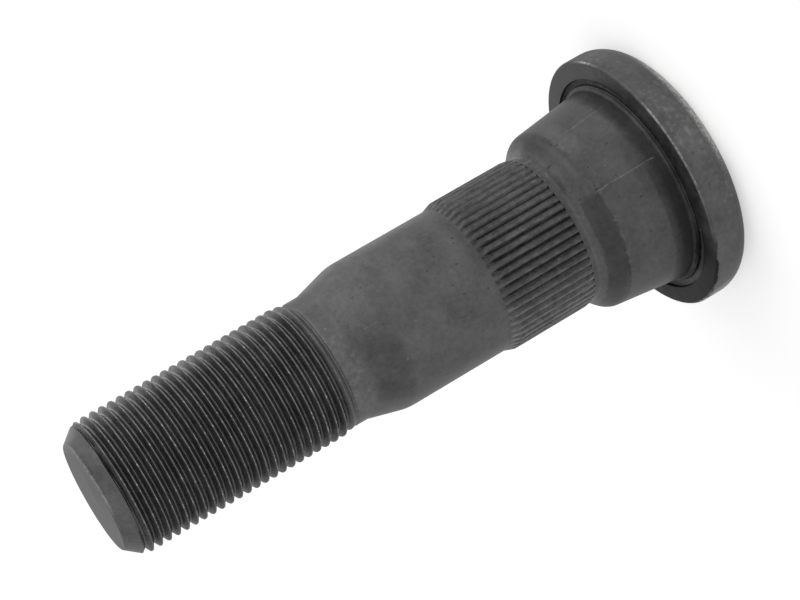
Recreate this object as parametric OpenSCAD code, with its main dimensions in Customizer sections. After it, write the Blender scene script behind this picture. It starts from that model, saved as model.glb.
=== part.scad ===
// Press-in wheel bolt of a truck hub, M22 x 1.5: one bar, forged, turned, serrated and rolled.
// It stands on the flat back of its round head, with Z along its axis up to the threaded tip.

/* [Head] */
// Diameter of the round head
head_d = 42.6; // [41:0.2:46]
// Thickness of the head, from its back to its bearing face
head_t = 7.3; // [6.6:0.1:9]
// Radius round the back edge of the head
head_back_r = 4; // [1:0.5:5]
// Radius round the front edge of the head
head_front_r = 0.5; // [0.2:0.1:1]

/* [Relief under the head] */
// Diameter of the low ring round the foot of the neck
ring_d = 34.2; // [34:0.1:35]
// Height of the ring above the bearing face
ring_h = 0.1; // [0.1:0.05:0.5]
// Radius of the fillet between the neck and the ring
foot_r = 0.6; // [0.2:0.05:0.6]
// Width of the groove that is turned into the bearing face round the ring
groove_w = 1.1; // [0.6:0.1:1.6]
// Depth of that groove
groove_depth = 0.6; // [0.3:0.1:1]
// Radius in the bottom corners of that groove
groove_r = 0.25; // [0.1:0.05:0.25]

/* [Neck] */
// Length of the neck with its front bevel, from the bearing face
neck_len = 15; // [12:0.5:20]
// Diameter of the neck's cone at its front corner
neck_front_d = 29.9; // [29:0.1:31]
// Diameter of the neck's cone at its foot
neck_foot_d = 33; // [32:0.1:33]
// Angle between the front bevel and the bolt's axis
bevel_angle = 46; // [35:1:60]
// Radius round the neck's front corner
front_r = 2.4; // [0.6:0.2:3]

/* [Serration] */
// Diameter over the teeth
knurl_d = 25.5; // [25.2:0.1:26.5]
// Length of the toothed band
knurl_len = 15.9; // [10:0.1:22]
// Number of teeth
knurl_teeth = 56; // [40:1:64]
// Depth of the grooves between the teeth
knurl_depth = 0.5; // [0.3:0.05:0.55]
// Angle between the two walls of a groove
groove_angle = 76; // [60:1:90]
// Length of the tapered lead-in on the tip side of the band
lead_in_len = 1.7; // [0.8:0.1:3]
// Length of the taper on the head side of the band
lead_out_len = 1.5; // [0.8:0.1:2]
// Length of that taper that stays smooth, before the grooves break in
smooth_len = 0.7; // [0.1:0.1:0.7]
// Diameter of the plain collar between the band and the neck
collar_d = 25; // [24.8:0.1:25.1]
// Length of that collar
collar_len = 0.5; // [0.4:0.1:3]
// Radius of the fillet between the collar and the front bevel
collar_r = 0.6; // [0.2:0.1:0.8]

/* [Shank] */
// Diameter of the smooth shank
shank_d = 24.3; // [23.4:0.1:24.6]
// Length of the smooth shank
shank_len = 17.5; // [8:0.5:40]
// Length of the tapered shoulder between the shank and the bare blank
shoulder_len = 6.3; // [4:0.1:10]
// Radius where the shoulder runs into the shank
shoulder_top_r = 9; // [1:0.5:12]
// Radius where the shoulder runs into the bare blank
shoulder_root_r = 4; // [1:0.5:4]

/* [Thread] */
// Diameter over the thread's crests
thread_d = 21.8; // [21.4:0.1:22]
// Distance from one turn of the thread to the next
thread_pitch = 1.5; // [1:0.25:2]
// Depth of the thread from its crests to its roots
thread_depth = 0.9; // [0.5:0.05:0.9]
// Width of the flat on a crest
crest_w = 0.2; // [0.1:0.05:0.3]
// Width of the flat in a root
root_w = 0.26; // [0.1:0.02:0.3]
// Length from the tip to the end of the thread's run-out
thread_len = 39.4; // [25:0.2:60]
// Length over which the thread dies into the blank
runout_len = 3; // [1:0.1:5]
// Diameter of the rolling blank, left bare between the thread and the shoulder
blank_d = 20.9; // [20.7:0.1:21.1]
// Length of the bare blank
blank_len = 1.6; // [1:0.1:4]
// Diameter of the flat end of the tip
tip_d = 17.3; // [15:0.1:19]
// Length of the chamfer behind the tip
tip_chamfer_len = 2.75; // [1.5:0.05:4]
// Radius round the edge of the flat end
tip_edge_r = 0.3; // [0.1:0.05:0.6]

/* [Hidden] */

// Sides of a full turn, and of the small circles that round the corners
turn_fn = 144;
corner_fn = 48;

// Heights of the shoulders along the axis, from the back of the head to the tip
face_z = head_t;
ring_z = face_z + ring_h;
collar_z = face_z + neck_len;
corner_z = collar_z - (neck_front_d - collar_d) / 2 / tan(bevel_angle);
knurl_z = collar_z + collar_len;
shank_z = knurl_z + knurl_len;
shoulder_z = shank_z + shank_len;
blank_z = shoulder_z + shoulder_len;
runout_z = blank_z + blank_len;
tip_z = runout_z + thread_len;

// The full turns of the thread start above the run-out and end below the chamfer
thread_z = runout_z + runout_len;
turns = floor((tip_z - tip_chamfer_len - thread_z - crest_w) / thread_pitch);
flank_w = (thread_pitch - crest_w - root_w) / 2;
thread_root = thread_d / 2 - thread_depth;

// The grooves' roots, and the height where they break into the taper
root_r = knurl_d / 2 - knurl_depth;
groove_z = knurl_z + smooth_len;

// How far the cutting circles and wedges run past what they cut, for a clean crossing
hair = 0.0005;
past_crest = 0.2;

// Half of the bolt's section, as [radius, height, radius of the corner], in five stretches
head_outline = [
    [0, 0, 0],
    [head_d / 2, 0, head_back_r],
    [head_d / 2, face_z, head_front_r],
    [ring_d / 2 + groove_w, face_z, 0],
    [ring_d / 2 + groove_w, face_z - groove_depth, groove_r],
    [ring_d / 2, face_z - groove_depth, groove_r],
    [ring_d / 2, ring_z, 0]
];
neck_outline = [
    [neck_foot_d / 2, ring_z, foot_r],
    [neck_front_d / 2, corner_z, front_r],
    [collar_d / 2, collar_z, collar_r]
];
knurl_outline = [
    [collar_d / 2, knurl_z, 0],
    [knurl_d / 2, knurl_z + lead_out_len, 0],
    [knurl_d / 2, shank_z - lead_in_len, 0]
];
shank_outline = [
    [shank_d / 2, shank_z, 0],
    [shank_d / 2, shoulder_z, shoulder_top_r],
    [blank_d / 2, blank_z, shoulder_root_r],
    [blank_d / 2, runout_z, 0]
];
thread_outline = [
    for (i = [0 : turns - 1]) each turn_outline(thread_z + i * thread_pitch),
    [thread_d / 2, thread_z + turns * thread_pitch, 0],
    [thread_d / 2, tip_z - tip_chamfer_len, 0],
    [tip_d / 2, tip_z, tip_edge_r],
    [0, tip_z, 0]
];
outline = concat(head_outline, neck_outline, knurl_outline, shank_outline, thread_outline);

// One turn of the thread, drawn as a ring: its crest, its upper flank and the root above it
function turn_outline(z) = [
    [thread_d / 2, z, 0],
    [thread_d / 2, z + crest_w, 0],
    [thread_root, z + crest_w + flank_w, 0],
    [thread_root, z + crest_w + flank_w + root_w, 0]
];

function flat(p) = [p[0], p[1]];
function unit(v) = v / norm(v);

// Directions from the corner at point i to the points before and after it
function to_last(i) = unit(flat(outline[i - 1]) - flat(outline[i]));
function to_next(i) = unit(flat(outline[i + 1]) - flat(outline[i]));
function is_outward(i) = cross(to_next(i), to_last(i)) > 0;
function half_angle(i) = acos(to_last(i) * to_next(i)) / 2;

// Where the arc that rounds corner i has its centre, and how far from the corner it starts
function centre(i) =
    flat(outline[i]) + unit(to_last(i) + to_next(i)) * outline[i][2] / sin(half_angle(i));
function touch(i) = outline[i][2] / tan(half_angle(i));

// An inward corner is bridged by a straight cut here, which its circle then hollows out
function corner_points(i) =
    outline[i][2] == 0 || is_outward(i)
        ? [flat(outline[i])]
        : [flat(outline[i]) + to_last(i) * touch(i), flat(outline[i]) + to_next(i) * touch(i)];

module rounding_circle(i) {
    translate(centre(i)) circle(r = outline[i][2] + hair, $fn = corner_fn);
}

// The sliver between the sharp outward corner at point i and the arc that rounds it
module corner_sliver(i) {
    corner = flat(outline[i]);
    past = corner + (corner - centre(i)) / 2;
    start = corner + to_last(i) * touch(i);
    end = corner + to_next(i) * touch(i);
    difference() {
        polygon([start, past, end, centre(i)]);
        rounding_circle(i);
    }
}

// Half of the section, from the axis out, with its corners rounded
module half_section() {
    last = len(outline) - 1;
    inner = [for (i = [1 : last - 1]) each corner_points(i)];
    rounded = [for (i = [1 : last - 1]) if (outline[i][2] > 0) i];
    difference() {
        polygon(concat([flat(outline[0])], inner, [flat(outline[last])]));
        for (i = rounded) {
            if (is_outward(i)) corner_sliver(i);
            else rounding_circle(i);
        }
    }
}

// One V-shaped groove of the serration, which the lead-in draws out to a point
module knurl_groove() {
    half_w = (knurl_depth + past_crest) * tan(groove_angle / 2);
    translate([root_r, 0, groove_z])
        linear_extrude(shank_z - groove_z)
            polygon([[0, 0], [knurl_depth + past_crest, -half_w], [knurl_depth + past_crest, half_w]]);
}

module wheel_bolt() {
    color([0.27, 0.27, 0.28])
        difference() {
            rotate_extrude($fn = turn_fn) half_section();
            for (i = [0 : knurl_teeth - 1])
                rotate(360 / knurl_teeth * i) knurl_groove();
        }
}

wheel_bolt();
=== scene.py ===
import math
import bpy
import bmesh
import numpy as np
from mathutils import Matrix, Vector


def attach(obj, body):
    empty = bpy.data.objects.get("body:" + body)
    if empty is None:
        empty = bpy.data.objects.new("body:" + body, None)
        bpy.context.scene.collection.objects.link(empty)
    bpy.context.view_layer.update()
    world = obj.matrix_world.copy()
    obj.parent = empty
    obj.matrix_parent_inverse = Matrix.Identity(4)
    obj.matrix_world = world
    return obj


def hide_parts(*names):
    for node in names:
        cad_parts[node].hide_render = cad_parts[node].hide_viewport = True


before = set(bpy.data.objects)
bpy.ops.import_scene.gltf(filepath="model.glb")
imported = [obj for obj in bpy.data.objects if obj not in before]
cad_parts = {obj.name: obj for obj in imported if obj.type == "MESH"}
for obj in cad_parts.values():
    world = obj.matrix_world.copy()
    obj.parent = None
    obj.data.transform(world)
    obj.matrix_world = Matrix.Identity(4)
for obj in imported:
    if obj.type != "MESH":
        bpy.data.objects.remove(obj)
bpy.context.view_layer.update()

mm = 0.001


# sRGB hex to linear colour with alpha 1
def linearColour(hexText):
    parts = np.array([int(hexText[i:i + 2], 16) / 255 for i in (1, 3, 5)])
    linear = np.where(parts <= 0.04045, parts / 12.92, ((parts + 0.055) / 1.055) ** 2.4)
    return (*linear.tolist(), 1.0)


# One node with its settings and links. links maps an input to a value, a socket or a node, and a
# node stands for its first output. A Mix node takes numbers at 2 and 3, and colours at 6 and 7.
def addNode(tree, kind, links=None, **settings):
    node = tree.nodes.new("ShaderNode" + kind)
    for name, value in settings.items():
        setattr(node, name, value)
    for key, value in (links or {}).items():
        if isinstance(value, bpy.types.Node):
            value = value.outputs[0]
        if isinstance(value, bpy.types.NodeSocket):
            tree.links.new(value, node.inputs[key])
        else:
            node.inputs[key].default_value = value
    return node


# Smooth step from 0 at low to 1 at high: 3x^2 - 2x^3, where x is the clipped share of the way
def rise(value, low, high):
    x = np.clip((value - low) / (high - low), 0, 1)
    return x * x * (3 - 2 * x)


# Bell curve, 1 at its middle: e to the power of -x^2, where x is the distance over the width
def bell(value, middle, width):
    return np.exp(-((value - middle) / width) ** 2)


# The bolt, in mm. "Along" is the distance from the tip's face. Turns are in degrees, 0 on the side
# that faces the camera, and grow towards the lower edge of the picture. wearAndHighlight is how far
# the coat is rubbed off, and also carries painted highlights on edges; tone is the coat's share of its
# full brightness, and also carries painted light and shade.
bolt = {
    "length": 103.5,
    "columns": 224,              # points round the bolt, four to each tooth
    "sharpAngle": 38,            # edges that are sharper than this stay hard

    # tip: radii of rings on the flat end, then corners as (along, radius, rounding, steps)
    "tipFlat": (1.5, 3, 4.5, 6, 7, 7.6, 7.9, 8.12),
    "tipCorners": ((0, 8.3, 0, 0), (0, 8.65, 0.3, 5), (0.2, 8.813, 0, 0), (0.3, 8.895, 0, 0),
                   (0.4, 8.977, 0, 0)),
    "chamferRadius": 8.65,       # of the chamfer's cone at the tip's face
    "chamferLength": 2.18,
    "tipTones": ((0.1, 0.2, 0.32, 0.4), (0.78, 1.0, 0.85, 1.02)),
    "tipShade": (1.03, 0.26, -8, 38),          # tone, then depth, turn and width of the painted shade on its darker side
    "tipGlowRing": (8.35, 0.7, 0.15),              # painted glow in a ring on the end: radius, width, reach along
    "tipGlowSide": (0.04, 0.5, -84, 20),       # its least strength, then gain, turn and width
    "tipHighlightTurns": ((-112, -96), (-75, -50), (8, 30)),    # painted highlight on the rounded edge: sets in, gets full, ends
    "tipHighlightRest": 0.15,         # what is left of it on the other sides
    "tipHighlightRadius": (8.72, 0.05, 3, 20),      # middle, sway, waves in a turn and their start
    "tipHighlightWidth": 0.16,
    "tipHighlightWear": 0.5,
    "tipHighlightTone": 0.7,

    # thread
    "pitch": 1.5,
    "firstCrest": 3.2,           # along, at turn 0
    "crestRadius": 10.88,
    "blankRadius": 10.43,        # the bar before the thread was rolled
    "crestHalf": 0.094,          # half of the flat on a crest
    "flankAngle": 30,            # between a flank and a plane square to the axis
    "rootRound": 0.2165,
    "threadDepth": 0.92,
    "rowPhases": (-0.36, -0.085, -0.055, 0.0, 0.055, 0.085, 0.36, 0.43, 0.5, 0.57),
    "startTurn": -1,
    "turns": 26,
    "runIn": (2.15, 2.5),        # roots deepen here
    "crestIn": (2.5, 3.1),       # crests fill here
    "runOut": (36.9, 40.2),      # roots get shallow here
    "crestOut": (36.0, 38.9),    # crests sink here
    "unrolledTone": 1.08,
    # painted light and shade by turn: lighter on the upper side, darker on the lower
    "threadLitSides": ((-180, -110, -85, -65, -48, 5, 45, 65, 90, 180),
                    (1, 2.2, 3.1, 2.0, 1.02, 1.06, 0.95, 0.72, 0.8, 1)),
    # painted shade and highlight across a turn, from one root over the tip's flank, the crest and the
    # head's flank to the next root
    "threadShades": ((0, 0.8), (0.09, 0.76), (0.17, 0.6), (0.28, 0.47), (0.42, 0.46), (0.5, 0.6),
                     (0.58, 0.56), (0.72, 0.72), (0.85, 0.84), (0.94, 0.84)),

    # shoulder and shank: corners, then the first, the last and the number of the shoulder's rows
    "shankCorners": ((41.1, 10.45, 0, 0), (41.2, 10.5, 0, 0), (47.2, 12.14, 9, 7), (64.3, 12.15, 0, 0)),
    "shoulderRows": (41.5, 45.5, 6),

    # serrated band
    "teeth": 56,
    "toothTurn": -1.1,           # of the groove nearest to turn 0
    "toothRadius": 12.75,
    "toothDepth": 0.5,
    "toothHalfAngle": 38,        # between a groove's wall and its middle
    "grooveRound": 0.06,         # radius in the groove's root
    "landRound": (0.4, 0.08, 0.04),            # where, how wide and how deep the land's corner is worn
    # eight columns for each tooth, in mm from the groove's root over the land to the next wall
    "toothColumns": (0, 0.1, 0.33, 0.46, 0.715, 0.97, 1.1, 1.33),
    # painted shade and highlight across each tooth, one for each column
    "toothShades": (0.55, 0.5, 0.52, 0.6, 0.78, 0.95, 0.95, 0.7),
    "toothLitSides": ((-180, 25, 45, 55, 90, 180), (1, 1, 1.4, 1.7, 1.6, 1)),      # painted light by turn: lighter on the lower side
    "leadInRows": (64.75, 66.6, 14),           # first, last and number
    "bandRows": (67.2, 70, 73, 76, 78.6, 79.2, 79.6, 79.93, 79.99, 80.04, 80.3, 80.7),
    "bandTaper": ((64.8, 66.5, 79.2, 80.7), (12.15, 12.75, 12.75, 12.5)),
    "shadeStart": 65,            # the grooves' shades set in here
    "grooveEnd": 80.0,
    "plainTone": 0.95,           # of the band where it has no grooves

    # collar, bevel, neck, relief groove, bearing face, rim and back, as corners
    "headCorners": ((80.95, 12.5, 0, 0), (81.2, 12.5, 0.5, 4), (83.57, 14.95, 2.4, 9),
                    (96.1, 16.53, 0.6, 6), (96.1, 17.1, 0.15, 4), (96.8, 17.1, 0.25, 4),
                    (96.8, 18.2, 0.25, 4), (96.2, 18.2, 0.12, 3), (96.2, 18.5, 0, 0),
                    (96.2, 21.3, 0.5, 6), (103.5, 21.3, 4.0, 18), (103.5, 14, 0, 0)),
    "backRings": (9, 4),         # radii of the rings on the flat back
    "headTones": ((81, 82, 84, 96.1, 96.3, 97), (1.08, 0.82, 0.84, 0.84, 0.88, 1.03)),
    "frontEdge": (96.35, 0.07, 20.9),          # along, width and least radius of its worn line
    "backEdge": ((101.0, 102.3), (103.3, 103.5)),          # its painted highlight rises, then falls, along here
    # worn stretches of the head's front edge, and stretches of painted highlight along its back edge:
    # turn, width, strength
    "knocks": ((-19, 7, 1.6), (-2, 9, 1.3), (14, 7, 1.0), (-66, 7, 2.2), (84, 8, 1.9), (150, 6, 1),
               (-140, 5, 1)),
    "backHighlights": ((-34, 18, 2.4), (-4, 14, 2.2), (75, 14, 1), (140, 20, 0.8), (-120, 15, 0.8)),
    "mostWornAndHighlit": 2.4,
    "reliefZone": (96, 96.9, 18.4),            # from, to, and largest radius
    "grooveRadii": (17.13, 18.15),             # walls of the groove in it
    # painted shade in the groove
    "grooveShade": 0.4,
    "reliefShadeTurns": (2, 35, 60),     # painted shade in the relief: its turn, and where it thins and ends
    "reliefShadeRadius": 17.08,          # it lies outside this radius
    "reliefShadeDepth": 0.35,
    "faceFrom": (96.3, 18.4),    # the bearing face lies nearer to the tip, and outside this radius; it gets painted light at the turns where the relief gets painted shade
}


# A turned profile through sharp corners given as (along, radius, rounding, steps).
# Each rounding is the arc of that radius which touches both straight runs at its corner.
def turnedProfile(corners):
    points = [np.array([corners[0][:2]], float)]
    for before, here, after in zip(corners, corners[1:], corners[2:]):
        corner, back, ahead = (np.array(place[:2], float) for place in (here, before, after))
        rounding, steps = here[2:]
        if rounding == 0:
            points.append(corner[None])
            continue
        back = (back - corner) / np.linalg.norm(back - corner)
        ahead = (ahead - corner) / np.linalg.norm(ahead - corner)
        half = math.acos(float(np.clip(back @ ahead, -1, 1))) / 2
        middle = corner + (back + ahead) / np.linalg.norm(back + ahead) * rounding / math.sin(half)
        start = corner + back * rounding / math.tan(half) - middle
        end = corner + ahead * rounding / math.tan(half) - middle
        first = math.atan2(start[1], start[0])
        sweep = (math.atan2(end[1], end[0]) - first + math.pi) % (2 * math.pi) - math.pi
        angle = first + sweep * np.linspace(0, 1, steps)
        points.append(middle + rounding * np.stack([np.cos(angle), np.sin(angle)], 1))
    points.append(np.array([corners[-1][:2]], float))
    return np.concatenate(points)


# Radius of a full thread: crest flat, 60 degree flanks, round root of the standard external form.
# offset is the distance along the bolt from the nearest crest.
def threadRadius(offset):
    away = np.abs(offset)
    slant = math.radians(bolt["flankAngle"])
    flank = np.clip(away - bolt["crestHalf"], 0, None) / math.tan(slant)
    fromRoot = np.clip(bolt["pitch"] / 2 - away, 0, bolt["rootRound"])
    root = bolt["threadDepth"] - bolt["rootRound"] + np.sqrt(bolt["rootRound"] ** 2 - fromRoot ** 2)
    inRoot = away > bolt["pitch"] / 2 - bolt["rootRound"] * math.cos(slant)
    return bolt["crestRadius"] - np.where(inRoot, root, np.minimum(flank, bolt["threadDepth"]))


# Blank before rolling: the chamfer cone behind the tip, then the bare bar
def blankRadius(along):
    start = bolt["chamferRadius"]
    cone = start + along * (bolt["blankRadius"] - start) / bolt["chamferLength"]
    return np.minimum(cone, bolt["blankRadius"])


# Rolled part: the blank less what the rolls press in, plus what rises between them. At both ends the
# rolls stand off by a growing distance, so grooves get narrow and vanish, and the crests sink.
# The second result is the share of the full thread, 0 to 1.
def rolledRadius(along, turn):
    phase = (along - bolt["firstCrest"]) / bolt["pitch"] - turn / (2 * math.pi)
    offset = (phase - np.round(phase)) * bolt["pitch"]
    depart = threadRadius(offset) - bolt["blankRadius"]
    sink = rise(along, *bolt["runIn"]) * (1 - rise(along, *bolt["runOut"]))
    fill = rise(along, *bolt["crestIn"]) * (1 - rise(along, *bolt["crestOut"]))
    deepest = bolt["threadDepth"] - bolt["crestRadius"] + bolt["blankRadius"]
    groove = np.clip(-depart - (1 - sink) * deepest, 0, None)
    return blankRadius(along) + np.clip(depart, 0, None) * fill - groove, np.minimum(sink, fill)


rings = []          # one entry a row of the grid: arrays of along, radius, turn, wear, tone and rolled
faces = []


# Adds one row of points, all arrays of the same length, and returns the numbers of its points
def addRow(along, radius, turn, wearAndHighlight=0.0, tone=1.0, rolled=0.0):
    start, size = sum(len(ring[0]) for ring in rings), len(turn)
    values = (along, radius, turn, wearAndHighlight, tone, rolled)
    rings.append([np.broadcast_to(np.asarray(value, float), size) for value in values])
    return np.arange(start, start + size)


# Quads between two closed rows of the same length
def bridgeRows(one, two):
    faces.extend(np.stack([one, np.roll(one, -1), np.roll(two, -1), two], 1).tolist())


# Five-sided faces where a row has twice the points of its neighbour
def bridgeCoarseFine(coarse, fine, fineAfter=True):
    even, odd = fine[0::2], fine[1::2]
    ring = np.stack([coarse, np.roll(coarse, -1), np.roll(even, -1), odd, even], 1)
    faces.extend((ring if fineAfter else ring[:, ::-1]).tolist())


# Wear or painted highlight round an edge: the sum of a bell curve for each stretch (turn, width,
# strength)
def edgeStretches(degrees, stretches):
    return sum(strength * bell(degrees, middle, width) for middle, width, strength in stretches)


columns = bolt["columns"]
turnAt = -math.pi + 2 * math.pi * np.arange(columns) / columns
degreesAt = np.degrees(turnAt)

# tip: a centre point, rings on the flat end, the rounded edge and the start of the chamfer
centreTip = addRow(0, 0, [0.0])
flatRows = np.array([(0, radius) for radius in bolt["tipFlat"]], float)
tipRows = np.concatenate([flatRows, turnedProfile(bolt["tipCorners"])])
# painted highlight along the tip's rounded edge, put into its wear and its tone
setsIn, getsFull, ends = bolt["tipHighlightTurns"]
tipHighlight = (0.5 + 0.5 * rise(degreesAt, *getsFull)) * rise(degreesAt, *setsIn)
tipHighlight = tipHighlight * (1 - rise(degreesAt, *ends)) + bolt["tipHighlightRest"]
middle, sway, waves, start = bolt["tipHighlightRadius"]
tipHighlightAt = middle + sway * np.sin(np.radians(waves * degreesAt + start))
# painted shade on one side of the tip
fullTone, depth, middle, width = bolt["tipShade"]
shaded = fullTone - depth * bell(degreesAt, middle, width)
# painted glow on the end next to the edge's highlight, strongest on the upper side
least, gain, middle, width = bolt["tipGlowSide"]
glowSide = gain * bell(degreesAt, middle, width) + least
ringRadius, ringWidth, ringReach = bolt["tipGlowRing"]
last = None
for along, radius in tipRows:
    edge = bell(radius, tipHighlightAt, bolt["tipHighlightWidth"]) * tipHighlight
    paintedGlow = bell(radius, ringRadius, ringWidth) * glowSide * (along < ringReach)
    base = float(np.interp(along, *bolt["tipTones"]))
    tone = base * shaded + paintedGlow + bolt["tipHighlightTone"] * edge
    row = addRow(along, radius, turnAt, wearAndHighlight=bolt["tipHighlightWear"] * edge, tone=tone)
    if last is None:
        fan = np.stack([row, np.roll(row, -1), np.full(columns, centreTip[0])], 1)
        faces.extend(fan.tolist())
    else:
        bridgeRows(last, row)
    last = row

# thread: rows follow the helix, so that each runs along one crest, flank or root, and each turn
# joins the next at the back of the bolt
perTurn = len(bolt["rowPhases"])
steps = np.arange(bolt["turns"] * perTurn + 1)
phases = np.array(bolt["rowPhases"])[steps % perTurn] + steps // perTurn + bolt["startTurn"]
alongGrid = bolt["firstCrest"] + bolt["pitch"] * (phases[:, None] + turnAt[None] / (2 * math.pi))
radiusGrid, rolledGrid = rolledRadius(alongGrid, turnAt[None])
unrolled = bolt["unrolledTone"]
# painted light and shade by turn on the rolled thread
litSides = np.interp(degreesAt, *bolt["threadLitSides"])
threadRows = np.stack([addRow(rowAlong, rowRadius, turnAt, rolled=share,
                              tone=unrolled + share * (litSides - unrolled))
                       for rowAlong, rowRadius, share in zip(alongGrid, radiusGrid, rolledGrid)])
low, high = threadRows[:-1], threadRows[1:]
faces.extend(np.stack([low[:, :-1], low[:, 1:], high[:, 1:], high[:, :-1]], 2).reshape(-1, 4).tolist())
faces.extend(np.stack([threadRows[:-perTurn - 1, -1], threadRows[perTurn:-1, 0],
                       threadRows[perTurn + 1:, 0], threadRows[1:-perTurn, -1]], 1).tolist())
faces.extend(np.stack([last[:-1], last[1:], threadRows[0, 1:], threadRows[0, :-1]], 1).tolist())
faces.append([last[-1], last[0], *threadRows[:perTurn + 1, 0], threadRows[0, -1]])

# shoulder and shank
shankProfile = turnedProfile(bolt["shankCorners"])
shoulder = np.linspace(*bolt["shoulderRows"])
shankAlong = np.concatenate([shankProfile[:1, 0], shoulder, shankProfile[2:, 0]])
shankRadius = np.interp(shankAlong, shankProfile[:, 0], shankProfile[:, 1])
row = addRow(shankAlong[0], shankRadius[0], turnAt)
top = threadRows[-1]
faces.extend(np.stack([top[:-1], top[1:], row[1:], row[:-1]], 1).tolist())
faces.append([threadRows[-perTurn - 1, -1], top[0], row[0], row[-1], *threadRows[-perTurn:, -1][::-1]])
last = row
for along, radius in zip(shankAlong[1:], shankRadius[1:]):
    row = addRow(along, radius, turnAt)
    bridgeRows(last, row)
    last = row

# serrated band: each tooth has columns on the groove's root, its walls, the rounded edges and the
# middle of the land, and the taper cuts the teeth off at both ends
toothPitch = 2 * math.pi / bolt["teeth"]
across = np.array(bolt["toothColumns"]) / (bolt["toothRadius"] * toothPitch)
firstTooth = math.radians(bolt["toothTurn"]) - math.pi
toothTurnAt = (firstTooth + toothPitch * (np.arange(bolt["teeth"])[:, None] + across)).ravel()
fromRoot = np.minimum(across, 1 - across) * bolt["toothRadius"] * toothPitch
slope = math.tan(math.radians(bolt["toothHalfAngle"]))
wall = bolt["toothRadius"] - bolt["toothDepth"] + np.hypot(fromRoot, bolt["grooveRound"]) / slope
cornerAt, cornerWidth, cornerDepth = bolt["landRound"]
wall = np.tile(wall - cornerDepth * bell(fromRoot, cornerAt, cornerWidth), bolt["teeth"])
# painted shade and highlight across each tooth, with painted light on the lower side
toothTone = np.tile(bolt["toothShades"], bolt["teeth"])
toothTone = toothTone * np.interp(np.degrees(toothTurnAt), *bolt["toothLitSides"])
bandAlong = np.concatenate([np.linspace(*bolt["leadInRows"]), bolt["bandRows"]])
bandTaper = np.interp(bandAlong, *bolt["bandTaper"])
fine = None
for along, taper in zip(bandAlong, bandTaper):
    grooved = along < bolt["grooveEnd"]
    radius = np.minimum(taper, wall) if grooved else np.full(wall.size, taper)
    tone = toothTone if grooved and along > bolt["shadeStart"] else bolt["plainTone"]
    row = addRow(along, radius, toothTurnAt, tone=tone)
    if fine is None:
        bridgeCoarseFine(last, row)
    else:
        bridgeRows(fine, row)
    fine = row

# head, from the collar to the flat back
knocked, backHighlight = (edgeStretches(degreesAt, bolt[name]) for name in ("knocks", "backHighlights"))
reliefShadeTurn, thins, ends = bolt["reliefShadeTurns"]
reliefShadeShare = 1 - rise(np.abs(degreesAt - reliefShadeTurn), thins, ends)
edgeAlong, edgeWidth, edgeRadius = bolt["frontEdge"]
wearRises, wearFalls = bolt["backEdge"]
reliefFrom, reliefTo, reliefRadius = bolt["reliefZone"]
grooveInside, grooveOutside = bolt["grooveRadii"]
faceAlong, faceRadius = bolt["faceFrom"]
last = None
for along, radius in turnedProfile(bolt["headCorners"]):
    frontEdge = bell(along, edgeAlong, edgeWidth) * (radius > edgeRadius)
    backEdge = rise(along, *wearRises) * (1 - rise(along, *wearFalls))
    tone = float(np.interp(along, *bolt["headTones"]))
    # painted shade in the groove and the relief, and painted light on the bearing face at the same turns
    if reliefFrom < along < reliefTo and radius < reliefRadius:
        if grooveInside < radius < grooveOutside:
            tone = bolt["grooveShade"]
        tone = tone * (1 - bolt["reliefShadeDepth"] * reliefShadeShare * (radius > bolt["reliefShadeRadius"]))
    if along < faceAlong and radius > faceRadius:
        tone = tone * (1 + bolt["reliefShadeDepth"] * reliefShadeShare)
    # the front edge's wear, and the painted highlight along the back edge's outline, both put in as wear
    wornAndHighlit = np.clip(frontEdge * knocked + backEdge * backHighlight, 0, bolt["mostWornAndHighlit"])
    row = addRow(along, radius, turnAt, wearAndHighlight=wornAndHighlit, tone=tone)
    if last is None:
        bridgeCoarseFine(row, fine, fineAfter=False)
    else:
        bridgeRows(last, row)
    last = row
for radius in bolt["backRings"]:
    row = addRow(bolt["length"], radius, turnAt)
    bridgeRows(last, row)
    last = row
centreBack = addRow(bolt["length"], 0, [0.0])
faces.extend(np.stack([last, np.roll(last, -1), np.full(columns, centreBack[0])], 1).tolist())

# cylinder coordinates to the frame's: turn 0 looks towards -Y and grows towards -X, and heights run
# down from the tip
along, radius, turn, *marks = (np.concatenate(part) for part in zip(*rings))
points = np.stack([-radius * np.sin(turn), -radius * np.cos(turn), bolt["length"] - along], 1) * mm
mesh = bpy.data.meshes.new("phosphatedBolt")
mesh.from_pydata(points.tolist(), [], faces)
for name, values in zip(("wearAndHighlight", "tone", "rolled"), marks):
    mesh.attributes.new(name, "FLOAT", "POINT").data.foreach_set("value", values.astype(np.float32))
mesh.polygons.foreach_set("use_smooth", np.ones(len(mesh.polygons), bool))
shell = bmesh.new()
shell.from_mesh(mesh)
openEdges = sum(1 for edge in shell.edges if not edge.is_manifold)
print("open edges", openEdges, "volume cm3", shell.calc_volume(signed=True) * 1e6)
bmesh.ops.recalc_face_normals(shell, faces=shell.faces)
shell.to_mesh(mesh)
shell.free()
mesh.set_sharp_from_angle(angle=math.radians(bolt["sharpAngle"]))
mesh.calc_loop_triangles()
print("bolt built,", len(mesh.loop_triangles), "triangles")
boltPiece = bpy.data.objects.new("boltPiece", mesh)
bpy.context.scene.collection.objects.link(boltPiece)
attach(boltPiece, "root")
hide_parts("wheel_bolt")


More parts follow.
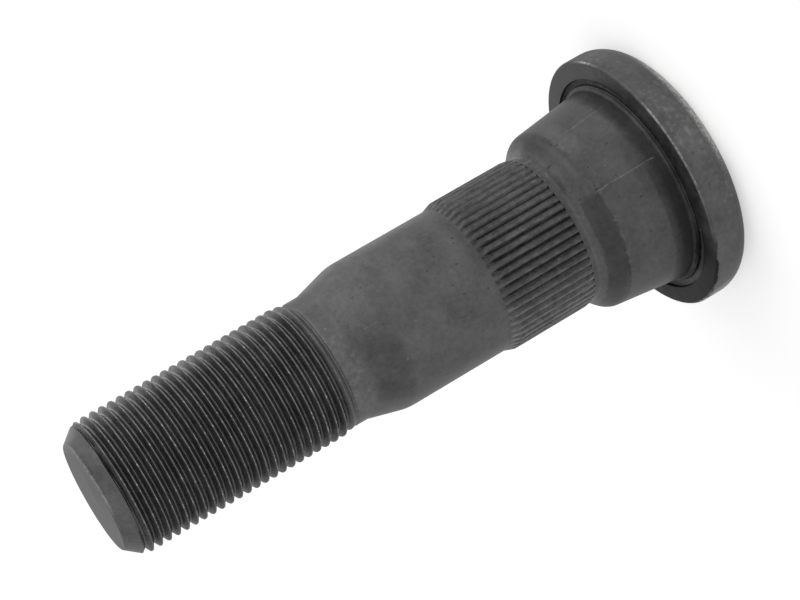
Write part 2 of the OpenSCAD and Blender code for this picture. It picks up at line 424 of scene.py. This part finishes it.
# The finish. Sizes are in mm, places are mm from the tip, and turns are degrees from the camera side.
# Each pattern is (size, detail, contrast).
finish = {
    "coat": "#474747",
    "coatLight": "#686868",
    "bare": "#A6A6A4",
    "roughness": (0.44, 0.58),
    "edgeTint": 0.9,             # share of the grazing reflection that the dull crystals leave

    "blotch": (4.5, 2.5, 2.0),   # cloudy patches of thicker and thinner phosphate
    "rubbed": (0.8, 5.0, 2.6),   # spots where bolts lay against each other
    "grain": (0.28, 1.5, 1.4),   # crystals are a tenth of this, too fine to show, so drawn coarser
    "coatShares": (0.5, 0.27, 0.17, 0.12),     # middle, then blotches, rubbed spots and grain
    "skin": (1.3, 3.0, 1.6),     # uneven skin that forging leaves
    "skinHeight": 0.012,
    "grainHeight": 0.006,

    "drawn": (0.2, 2.5, 2.0),    # lines that rolling draws round the thread
    "drawnScale": (140, 140, 1000),            # stretches them to seven times their width
    "drawnShade": 0.22,
    "drawnHeight": 0.008,
    "threadLevel": 1.25,         # brings the thread's shades to the level of the bar's
    "crestPhase": (0.44, 0.56, 0.035),         # where across a turn its crest lies, and its softness
    "crestWear": (0.04, 0.34),   # wear of the crests, lowest and highest
    "crestKnocks": (0.4, 1.0, 0.9),            # glints from the first value up add wear, to the last

    "toothLines": (0.3, 3.0, 1.8),             # lines drawn along the teeth
    "toothScale": (1000, 1000, 200),           # stretches them to five times their width
    "toothCrumble": 0.35,        # share of the rubbed spots in them
    "toothBand": (65.2, 80.2, 0.5),
    "toothContrast": 0.3,
    "toothHeight": 0.014,

    "glint": (0.5, 4.0, 2.4),    # bright bits along a worn edge
    "patternSpan": 0.9,          # glints and drawn lines count up to this value on each side of 0
    "edgeBits": (0.14, 0.85),    # share of the wear and the painted highlights that shows between the bits and on them
    "cellSize": 1.4,             # one speck at the most in each cell of this size
    "specks": (0.9, 0.05, 0.11, 0.35),         # bright: how rare, inner and outer radius, strength
    "flecks": (0.8, 0.05, 0.2, 0.26),          # dark ones, in the same order

    # seams of the forging die: turn, start, end, strength
    "seams": (
        (-48.0, 85.3, 94.4, 0.8), (-5.8, 84.9, 94.8, 1.0), (-6.0, 44.0, 46.2, 0.5),
        (-4.5, 98.6, 101.2, 0.6),
    ),
    "seamTurns": (0.32, 0.25),   # half width and softness, in degrees
    "seamSway": 0.5,             # degrees
    "seamFade": 0.5,             # softness of their ends, in mm
    "seamHeight": 0.03,
    "seamWear": (0.03, 0.24),    # lowest and highest
    "seamSpan": 0.7,             # rubbed spots count up to this value on each side of 0

    # patches of tone: start, end, first turn, last turn, softness in mm, softness in degrees at the
    # first and the last turn, share of light they take, where less than none is a paler patch
    "paintedLightAndStains": (
        # painted light: the upper side of the chamfer, the shoulder, the shank and the collar lighter
        (0.3, 2.2, -105, -66, 0.3, 8, 8, -0.7),
        (41.5, 47.5, -105, -70, 0.8, 20, 6, -0.5),
        (48.0, 64.0, -105, -68, 1.0, 20, 7, -0.3),
        (80.6, 83.0, -105, -72, 0.4, 20, 6, -0.5),
        # painted shade on the shoulder's lower side
        (42.5, 48.0, 8, 62, 0.9, 8, 8, 0.24),
        # darker patches on the collar and at the serrated band's lead-in
        (80.9, 81.8, -66, -12, 0.3, 8, 8, 0.32),
        (63.6, 66.8, -56, 0, 1.2, 14, 14, 0.26),
        # painted shade: the bevel's lower and upper sides, and the band round the neck's foot under the
        # head
        (82.0, 84.95, -6, 120, 0.2, 2, 30, 0.32),
        (82.0, 84.6, -110, -34, 0.4, 20, 8, 0.28),
        (93.4, 96.1, -150, 150, 0.9, 25, 25, 0.44),
        (94.0, 96.1, 4, 150, 0.35, 8, 25, 0.2),
        (92.6, 96.1, -4, 150, 0.3, 6, 25, 0.28),
        # darker patches on the neck
        (92.9, 96.0, -61, -28, 0.5, 2.5, 2.5, 0.2),
        (90.8, 95.0, -24, -4, 1.0, 8, 8, 0.14),
        (91.0, 93.4, -7, 12, 0.4, 4, 4, 0.16),
        # painted shadow of the neck on the bearing face's lower side, painted shade on the rim's upper
        # side, painted light on its lower side and a painted highlight on the neck's upper front
        (95.9, 96.5, 41, 150, 0.1, 12, 30, 0.85),
        (96.6, 103.4, -110, -74, 0.6, 5, 5, 0.6),
        (96.8, 102.4, 74, 100, 0.8, 5, 14, -1.1),
        (84.6, 87.5, -62, -36, 0.7, 8, 8, -0.22),
        # paler smears
        (97.4, 101.0, -28, 4, 0.9, 7, 7, -0.16),
        (85.2, 90.0, 16, 34, 1.4, 7, 7, -0.06),
        (47.0, 56.0, -70, -48, 2.0, 8, 8, -0.1),
        (38.6, 42.0, -16, 60, 0.7, 9, 9, -0.12),
    ),
    "patchEdge": (2.2, 6.0, 1.8),  # pattern by which the edges of the patches wander
    "patchWander": (0.32, 3.0),    # mm along the bolt, degrees round it

    # small dents: distance from the tip, turn, half length along the bolt, half width round it
    "dents": (
        (84.9, -9, 0.25, 0.2), (84.8, -6.5, 0.3, 0.3), (84.95, 12, 0.2, 0.35), (85.0, 15, 0.25, 0.2),
        (84.9, 33, 0.3, 0.3), (84.8, 50, 0.25, 0.35), (84.7, -44, 0.4, 0.3), (84.2, -47, 0.3, 0.25),
        (90.4, -26, 0.25, 0.15), (90.2, 9, 0.3, 0.15), (89.5, 29, 0.3, 0.2), (85.8, -20, 0.2, 0.15),
        (82.2, -7, 0.3, 0.2), (81.9, -38, 0.4, 0.3), (50.6, -54, 0.2, 0.15), (52.8, -46, 0.15, 0.2),
        (58.4, -21, 0.25, 0.12), (60.9, -33, 0.15, 0.15), (45.6, -31, 0.3, 0.12), (46.9, -2, 0.2, 0.2),
        (61.3, -12.5, 0.3, 0.25), (55.1, 24, 0.2, 0.15), (98.3, 16, 0.25, 0.2), (99.6, 20, 0.2, 0.25),
        (47.4, -33.5, 0.25, 0.2), (59.2, -25.5, 0.2, 0.3), (57.4, -11.5, 0.2, 0.15),
        (59.9, 8, 0.3, 0.2), (60.4, 39, 0.2, 0.2), (55.9, 49, 0.25, 0.2), (46.9, 14, 0.3, 0.15),
        (63.3, -31, 0.25, 0.3),
        (62.9, -27, 0.2, 0.25), (63.6, 13, 0.2, 0.35), (59.0, -1, 0.2, 0.15), (56.5, -59, 0.2, 0.15),
    ),
    "dentRadius": 15.2,          # mean radius of the bolt where they lie, which turns degrees to mm
    "dentRim": (0.4, 1.1),       # share of its half size where a dent starts to end, and ends
    "dentShade": 0.32,
    "dentDepth": 0.05,

    # scuffed zones: start, end, first turn, last turn, strength
    "scuffs": (
        (97.0, 100.6, -30, 2, 0.16), (99.5, 102.0, 4, 30, 0.14), (96.6, 98.4, -70, -54, 0.16),
        (84.5, 85.4, -52, -40, 0.12), (84.6, 85.3, -12, -2, 0.12), (84.7, 85.2, 8, 56, 0.1),
        (78.5, 81.4, -80, -30, 0.1), (64.6, 67.5, -80, -56, 0.12), (38.5, 41.5, -20, 70, 0.08),
    ),
    "scuffSoft": (0.3, 8),       # mm along the bolt, degrees round it
    "scuffFrom": 0.1,            # only rubbed spots above this value show
}


# 1 where a value lies from low to high, falling to 0 over the softness at each end
def between(tree, value, low, high, soft, softHigh=None):
    softHigh = softHigh or soft
    up = addNode(tree, "MapRange", {0: value, 1: low - soft, 2: low + soft},
                 interpolation_type="SMOOTHSTEP")
    down = addNode(tree, "MapRange", {0: value, 1: high - softHigh, 2: high + softHigh, 3: 1.0, 4: 0.0},
                   interpolation_type="SMOOTHSTEP")
    return addNode(tree, "Math", {0: up, 1: down}, operation="MULTIPLY")


# Cloudy pattern of a size in mm, from -1 to 1: noise about 0.5, spread by the contrast
def clouds(tree, place, pattern):
    size, detail, contrast = pattern
    noise = addNode(tree, "TexNoise", {"Vector": place, "Scale": 1 / size, "Detail": detail})
    half = 0.5 / contrast
    return addNode(tree, "MapRange", {0: noise, 1: 0.5 - half, 2: 0.5 + half, 3: -1.0, 4: 1.0})


# Painted shade and highlight of a thread by where across a turn the point lies, from one root to the
# next
def threadShade(tree, phase):
    ramp = addNode(tree, "ValToRGB", {0: phase})
    elements = ramp.color_ramp.elements
    firstStop, *stops, lastStop = bolt["threadShades"]
    for spot, shade in stops:
        elements.new(spot).color = (shade, shade, shade, 1)
    for element, (spot, shade) in ((elements[0], firstStop), (elements[-1], lastStop)):
        element.position = spot
        element.color = (shade, shade, shade, 1)
    return ramp.outputs["Color"]


# Tone times what each patch of painted light or shade, or stain, keeps: 1 less its share of the light
# inside its soft outline
def lightAndStainTone(tree, tone, along, turn):
    for start, end, first, last, soft, softFirst, softLast, share in finish["paintedLightAndStains"]:
        lengthwise = between(tree, along, start, end, soft)
        around = between(tree, turn, first, last, softFirst, softLast)
        mask = addNode(tree, "Math", {0: lengthwise, 1: around}, operation="MULTIPLY")
        keep = addNode(tree, "Math", {0: mask, 1: -share, 2: 1.0}, operation="MULTIPLY_ADD")
        tone = addNode(tree, "Math", {0: tone, 1: keep}, operation="MULTIPLY")
    return tone


# Height of the seams, 0 to 1: thin lines along the bolt that waver with the skin
def seamRidge(tree, along, turn, skin):
    half, soft = finish["seamTurns"]
    ridge = None
    for angle, start, end, strength in finish["seams"]:
        sway = addNode(tree, "Math", {0: skin, 1: finish["seamSway"], 2: turn},
                       operation="MULTIPLY_ADD")
        line = between(tree, sway, angle - half, angle + half, soft)
        stretch = between(tree, along, start, end, finish["seamFade"])
        seam = addNode(tree, "Math", {0: line, 1: stretch}, operation="MULTIPLY")
        seam = addNode(tree, "Math", {0: seam, 1: strength}, operation="MULTIPLY")
        if ridge is None:
            ridge = seam
        else:
            ridge = addNode(tree, "Math", {0: ridge, 1: seam}, operation="MAXIMUM")
    return ridge


# Depth of the dents, 0 to 1: ovals, by the distance from the middle in half lengths and half widths
def dentPit(tree, along, turn):
    perDegree = math.radians(finish["dentRadius"])
    inner, outer = finish["dentRim"]
    pit = None
    for centre, angle, halfLong, halfWide in finish["dents"]:
        lengthwise = addNode(tree, "Math", {0: along, 1: -centre}, operation="ADD")
        lengthwise = addNode(tree, "Math", {0: lengthwise, 1: 1 / halfLong}, operation="MULTIPLY")
        around = addNode(tree, "Math", {0: turn, 1: -angle}, operation="ADD")
        around = addNode(tree, "Math", {0: around, 1: perDegree / halfWide}, operation="MULTIPLY")
        reach = addNode(tree, "CombineXYZ", {0: lengthwise, 1: around})
        reach = addNode(tree, "VectorMath", {0: reach}, operation="LENGTH").outputs["Value"]
        oval = addNode(tree, "MapRange", {0: reach, 1: inner, 2: outer, 3: 1.0, 4: 0.0},
                       interpolation_type="SMOOTHSTEP")
        if pit is None:
            pit = oval
        else:
            pit = addNode(tree, "Math", {0: pit, 1: oval}, operation="MAXIMUM")
    return pit


# Marks in the cells that pick rates above the first value: a dot that fades from inner to outer
def cellDots(tree, pick, distance, values):
    rarity, inner, outer, strength = values
    chosen = addNode(tree, "Math", {0: pick, 1: rarity}, operation="GREATER_THAN")
    dot = addNode(tree, "MapRange", {0: distance, 1: inner, 2: outer, 3: strength, 4: 0.0})
    return addNode(tree, "Math", {0: chosen, 1: dot}, operation="MULTIPLY")


# The given marks or, where it is stronger, a zone's strength in its rubbed spots
def scuffedMarks(tree, marks, along, turn, rubbed):
    soft, softTurn = finish["scuffSoft"]
    for start, end, first, last, strength in finish["scuffs"]:
        lengthwise = between(tree, along, start, end, soft)
        around = between(tree, turn, first, last, softTurn)
        scuff = addNode(tree, "MapRange",
                        {0: rubbed, 1: finish["scuffFrom"], 2: 1.0, 3: 0.0, 4: strength})
        scuff = addNode(tree, "Math", {0: scuff, 1: lengthwise}, operation="MULTIPLY")
        scuff = addNode(tree, "Math", {0: scuff, 1: around}, operation="MULTIPLY")
        marks = addNode(tree, "Math", {0: marks, 1: scuff}, operation="MAXIMUM")
    return marks


# Zinc phosphated forging steel: a dull dark grey crystal coat on forged and turned steel. It gives a
# soft, faintly clouded sheen. The bare steel shows where crests and edges were knocked, and also as
# painted highlights on the tip's and the back's edges; the tone carries painted light and shade.
def phosphatedSteel():
    material = bpy.data.materials.new("phosphatedSteel")
    material.use_nodes = True
    tree = material.node_tree
    shader = tree.nodes["Principled BSDF"]

    # the point's place in mm, its turn in degrees and its distance from the tip
    coords = addNode(tree, "TexCoord").outputs["Object"]
    place = addNode(tree, "Mapping", {"Vector": coords, "Scale": (1 / mm, 1 / mm, 1 / mm)})
    split = addNode(tree, "SeparateXYZ", {0: place})
    across = addNode(tree, "Math", {0: split.outputs["X"], 1: -1.0}, operation="MULTIPLY")
    facing = addNode(tree, "Math", {0: split.outputs["Y"], 1: -1.0}, operation="MULTIPLY")
    turn = addNode(tree, "Math", {0: across, 1: facing}, operation="ARCTAN2")
    turn = addNode(tree, "Math", {0: turn}, operation="DEGREES")
    along = addNode(tree, "Math", {0: bolt["length"], 1: split.outputs["Z"]}, operation="SUBTRACT")
    wearAndHighlight, tone, rolled = (addNode(tree, "Attribute", attribute_name=name).outputs["Fac"]
                          for name in ("wearAndHighlight", "tone", "rolled"))

    # patterns
    names = ("blotch", "skin", "grain", "glint", "rubbed", "patchEdge")
    blotch, skin, grain, glint, rubbed, wander = (clouds(tree, place, finish[name]) for name in names)
    roundPlace = addNode(tree, "Mapping", {"Vector": coords, "Scale": finish["drawnScale"]})
    drawn = clouds(tree, roundPlace, finish["drawn"])
    longPlace = addNode(tree, "Mapping", {"Vector": coords, "Scale": finish["toothScale"]})
    toothLines = clouds(tree, longPlace, finish["toothLines"])
    span = finish["patternSpan"]

    # thread: where across a turn the point lies, 0.5 on a crest, then its painted shade and highlight,
    # and the worn crest
    lead = addNode(tree, "Math", {0: turn, 1: -1 / 360, 2: 0.5 - bolt["firstCrest"] / bolt["pitch"]},
                   operation="MULTIPLY_ADD")
    phase = addNode(tree, "Math", {0: along, 1: 1 / bolt["pitch"], 2: lead}, operation="MULTIPLY_ADD")
    phase = addNode(tree, "Math", {0: phase}, operation="FRACT")
    shade = addNode(tree, "Math", {0: threadShade(tree, phase), 1: finish["threadLevel"]},
                    operation="MULTIPLY")
    shade = addNode(tree, "Math", {0: drawn, 1: finish["drawnShade"], 2: shade},
                    operation="MULTIPLY_ADD")
    threadTone = addNode(tree, "Mix", {0: rolled, 2: 1.0, 3: shade}, data_type="FLOAT")
    crestLine = between(tree, phase, *finish["crestPhase"])
    crestLine = addNode(tree, "Math", {0: crestLine, 1: rolled}, operation="MULTIPLY")
    leastWear, mostWear = finish["crestWear"]
    crestBits = addNode(tree, "MapRange", {0: drawn, 1: -span, 2: span, 3: leastWear, 4: mostWear})
    knockedFrom, knockedFull, knockWear = finish["crestKnocks"]
    knocks = addNode(tree, "MapRange", {0: glint, 1: knockedFrom, 2: knockedFull, 3: 0.0, 4: knockWear})
    crestBits = addNode(tree, "Math", {0: crestBits, 1: knocks}, operation="ADD", use_clamp=True)
    crestLine = addNode(tree, "Math", {0: crestLine, 1: crestBits}, operation="MULTIPLY")

    # serrated band: lines along the teeth
    inBand = between(tree, along, *finish["toothBand"])
    toothLines = addNode(tree, "Math", {0: rubbed, 1: finish["toothCrumble"], 2: toothLines},
                         operation="MULTIPLY_ADD")
    toothLines = addNode(tree, "Math", {0: toothLines, 1: inBand}, operation="MULTIPLY")
    toothTone = addNode(tree, "Math", {0: toothLines, 1: finish["toothContrast"], 2: 1.0},
                        operation="MULTIPLY_ADD")

    # tone of the coat, with patches of painted light and shade and stains whose edges wander, dents and
    # dark flecks
    wanderMm, wanderDegrees = finish["patchWander"]
    wanderAlong = addNode(tree, "Math", {0: wander, 1: wanderMm, 2: along}, operation="MULTIPLY_ADD")
    wanderTurn = addNode(tree, "Math", {0: wander, 1: wanderDegrees, 2: turn}, operation="MULTIPLY_ADD")
    tone = addNode(tree, "Math", {0: tone, 1: threadTone}, operation="MULTIPLY")
    tone = addNode(tree, "Math", {0: tone, 1: toothTone}, operation="MULTIPLY")
    tone = lightAndStainTone(tree, tone, wanderAlong, wanderTurn)
    pit = dentPit(tree, along, turn)
    pitTone = addNode(tree, "Math", {0: pit, 1: -finish["dentShade"], 2: 1.0}, operation="MULTIPLY_ADD")
    tone = addNode(tree, "Math", {0: tone, 1: pitTone}, operation="MULTIPLY")
    cells = addNode(tree, "TexVoronoi", {"Vector": place, "Scale": 1 / finish["cellSize"]})
    pick = addNode(tree, "SeparateColor", {0: cells.outputs["Color"]})
    fleck = cellDots(tree, pick.outputs[1], cells.outputs["Distance"], finish["flecks"])
    clean = addNode(tree, "Math", {0: 1.0, 1: fleck}, operation="SUBTRACT")
    tone = addNode(tree, "Math", {0: tone, 1: clean}, operation="MULTIPLY")

    # worn places and painted highlights: edges broken into bright bits, crests, seams, stray specks and
    # scuffs
    betweenBits, onBits = finish["edgeBits"]
    bits = addNode(tree, "MapRange", {0: glint, 1: -span, 2: span, 3: betweenBits, 4: onBits},
                   interpolation_type="SMOOTHSTEP")
    wearAndHighlight = addNode(tree, "Math", {0: wearAndHighlight, 1: bits}, operation="MULTIPLY", use_clamp=True)
    wearAndHighlight = addNode(tree, "Math", {0: wearAndHighlight, 1: crestLine}, operation="MAXIMUM")
    ridge = seamRidge(tree, along, turn, skin)
    seamSpan = finish["seamSpan"]
    leastWear, mostWear = finish["seamWear"]
    seamWear = addNode(tree, "MapRange",
                       {0: rubbed, 1: -seamSpan, 2: seamSpan, 3: leastWear, 4: mostWear})
    seamWear = addNode(tree, "Math", {0: ridge, 1: seamWear}, operation="MULTIPLY")
    speck = cellDots(tree, pick.outputs[0], cells.outputs["Distance"], finish["specks"])
    speck = scuffedMarks(tree, speck, along, turn, rubbed)
    wornAndHighlit = addNode(tree, "Math", {0: wearAndHighlight, 1: seamWear}, operation="MAXIMUM")
    wornAndHighlit = addNode(tree, "Math", {0: wornAndHighlit, 1: speck}, operation="MAXIMUM")

    # colour: thick and thin coat by the clouds, times the tone with its painted light and shade, then
    # the bare steel of worn places and painted highlights
    middle, blotchShare, rubbedShare, grainShare = finish["coatShares"]
    cloud = addNode(tree, "Math", {0: blotch, 1: blotchShare, 2: middle}, operation="MULTIPLY_ADD")
    cloud = addNode(tree, "Math", {0: rubbed, 1: rubbedShare, 2: cloud}, operation="MULTIPLY_ADD")
    cloud = addNode(tree, "Math", {0: grain, 1: grainShare, 2: cloud}, operation="MULTIPLY_ADD",
                    use_clamp=True)
    thick, thin, bare = (linearColour(finish[name]) for name in ("coat", "coatLight", "bare"))
    coat = addNode(tree, "Mix", {0: cloud, 6: thick, 7: thin}, data_type="RGBA")
    coat = addNode(tree, "Mix", {0: 1.0, 6: coat.outputs[2], 7: tone}, data_type="RGBA",
                   blend_type="MULTIPLY")
    colour = addNode(tree, "Mix", {0: wornAndHighlit, 6: coat.outputs[2], 7: bare}, data_type="RGBA")
    smooth, rough = finish["roughness"]
    dull = addNode(tree, "MapRange", {0: cloud, 1: 0.0, 2: 1.0, 3: smooth, 4: rough})

    # height in mm: skin, grain, drawn lines, seams, and the dents taken away
    height = addNode(tree, "Math", {0: skin, 1: finish["skinHeight"]}, operation="MULTIPLY")
    drawnOn = addNode(tree, "Math", {0: drawn, 1: rolled}, operation="MULTIPLY")
    for pattern, share in ((grain, finish["grainHeight"]), (drawnOn, finish["drawnHeight"]),
                           (toothLines, finish["toothHeight"]), (ridge, finish["seamHeight"]),
                           (pit, -finish["dentDepth"])):
        height = addNode(tree, "Math", {0: pattern, 1: share, 2: height}, operation="MULTIPLY_ADD")
    bump = addNode(tree, "Bump", {"Height": height, "Distance": mm, "Strength": 1.0})

    tree.links.new(colour.outputs[2], shader.inputs["Base Color"])
    tree.links.new(dull.outputs[0], shader.inputs["Roughness"])
    tree.links.new(bump.outputs[0], shader.inputs["Normal"])
    shader.inputs["Metallic"].default_value = 1.0
    shader.inputs["Specular Tint"].default_value = (*[finish["edgeTint"]] * 3, 1.0)
    return material


boltPiece.data.materials.append(phosphatedSteel())
print("finish made")


# The camera, from the fit of the bolt's outline. Its own axes point right, down and forward.
view = {
    "focalPixels": 2234.34,
    "centre": (307.7, 223.1),    # pixel that the lens looks straight at
    "tipPixel": (92.744, 497.209),
    "tipDepth": 320.606,         # mm that the middle of the tip's face lies in front of the lens
    "heading": -29.405,          # of the bolt's axis in the picture, from the right towards the bottom
    "pitch": 15.770,             # of the axis, away from the lens
    "frame": (800, 600),
    "sensorWidth": 36,
    "nearest": 0.01,             # metres
}


# Turns the fit round: the bolt's axis and tip in the camera's axes give the camera's place and its
# right, up and back directions in the frame, where turn 0 is the side square to the axis and nearest
# to the lens.
def placeCamera():
    heading, pitch = math.radians(view["heading"]), math.radians(view["pitch"])
    level = math.cos(pitch)
    axis = np.array([level * math.cos(heading), level * math.sin(heading), math.sin(pitch)])
    aside, below = (view["tipPixel"][i] - view["centre"][i] for i in (0, 1))
    tip = np.array([aside / view["focalPixels"], below / view["focalPixels"], 1]) * view["tipDepth"]
    facing = -(tip - (tip @ axis) * axis)
    facing /= np.linalg.norm(facing)
    side = np.cross(axis, facing)
    toFrame = -np.stack([side, facing, axis])          # rows give X, Y and Z of the frame
    place = toFrame @ -tip + np.array([0, 0, bolt["length"]])
    wide, tall = view["frame"]
    halfPixel = 0.5                                    # from a pixel's edge to its centre
    lens = bpy.data.cameras.new("lens")
    lens.sensor_width = view["sensorWidth"]
    lens.sensor_fit = "HORIZONTAL"
    lens.lens = view["focalPixels"] / wide * view["sensorWidth"]
    lens.shift_x = (wide / 2 - halfPixel - view["centre"][0]) / wide
    lens.shift_y = (view["centre"][1] - tall / 2 + halfPixel) / wide
    lens.clip_start = view["nearest"]
    camera = bpy.data.objects.new("camera", lens)
    bpy.context.scene.collection.objects.link(camera)
    right, up, back = toFrame[:, 0], -toFrame[:, 1], -toFrame[:, 2]
    matrix = Matrix([[*row, 0] for row in np.stack([right, up, back], 1).tolist()] + [[0, 0, 0, 1]])
    matrix.translation = (place * mm).tolist()
    camera.matrix_world = matrix
    bpy.context.scene.camera = camera
    print("camera at", place.round(2).tolist(), "up", up.round(3).tolist())


placeCamera()

# Floor and light, in metres
studio = {
    "floorHalf": 3.0,
    "floorColour": "#EDEDED",
    "floorRoughness": 0.9,
    "floorLift": 0.5,            # brings the paper to white where no shadow falls
    "roomLight": 0.6,            # what the room gives to the bolt and the paper, where 1 is white
    "lampPlace": (0.62, -0.12, 0.30),
    "lampAim": (0, 0, 0.05),
    "lampSize": (1.0, 0.5),
    "lampWatts": 1.6,
}


# 1 for rays that see the background: straight from the camera, by a gloss or through glass
def seesBackground(tree):
    path = addNode(tree, "LightPath")
    names = ("Camera", "Glossy", "Transmission")
    camera, glossy, through = (path.outputs[f"Is {name} Ray"] for name in names)
    either = addNode(tree, "Math", {0: camera, 1: glossy}, operation="MAXIMUM")
    return addNode(tree, "Math", {0: either, 1: through}, operation="MAXIMUM")


# White matt paper: even, with no gloss, so that only the bolt's soft shadow shows on it
def whitePaper():
    material = bpy.data.materials.new("whitePaper")
    material.use_nodes = True
    tree = material.node_tree
    shader = tree.nodes["Principled BSDF"]
    shader.inputs["Base Color"].default_value = linearColour(studio["floorColour"])
    shader.inputs["Roughness"].default_value = studio["floorRoughness"]
    shader.inputs["Specular IOR Level"].default_value = 0.0
    shader.inputs["Emission Color"].default_value = (1, 1, 1, 1)
    lift = addNode(tree, "Math", {0: seesBackground(tree), 1: studio["floorLift"]}, operation="MULTIPLY")
    tree.links.new(lift.outputs[0], shader.inputs["Emission Strength"])
    return material


# One square of paper at height 0, under the bolt's flat head
def buildFloor():
    half = studio["floorHalf"]
    mesh = bpy.data.meshes.new("paperFloor")
    corners = [(-half, -half, 0), (half, -half, 0), (half, half, 0), (-half, half, 0)]
    mesh.from_pydata(corners, [], [(0, 1, 2, 3)])
    mesh.materials.append(whitePaper())
    floor = bpy.data.objects.new("paperFloor", mesh)
    bpy.context.scene.collection.objects.link(floor)


# A white room, and one wide soft lamp on the side that is the upper one in the picture
def lightRoom():
    world = bpy.data.worlds.new("whiteRoom")
    bpy.context.scene.world = world
    world.use_nodes = True
    tree = world.node_tree
    background = tree.nodes["Background"]
    background.inputs["Color"].default_value = (1, 1, 1, 1)
    level = addNode(tree, "MapRange", {0: seesBackground(tree), 3: studio["roomLight"], 4: 1.0})
    tree.links.new(level.outputs[0], background.inputs["Strength"])
    lamp = bpy.data.lights.new("softLamp", "AREA")
    lamp.shape = "RECTANGLE"
    lamp.size, lamp.size_y = studio["lampSize"]
    lamp.energy = studio["lampWatts"]
    lampObject = bpy.data.objects.new("softLamp", lamp)
    lampObject.location = studio["lampPlace"]
    aim = Vector(studio["lampAim"]) - Vector(studio["lampPlace"])
    lampObject.rotation_euler = aim.to_track_quat("-Z", "Y").to_euler()
    bpy.context.scene.collection.objects.link(lampObject)


buildFloor()
lightRoom()
bpy.context.scene.view_settings.view_transform = "Standard"
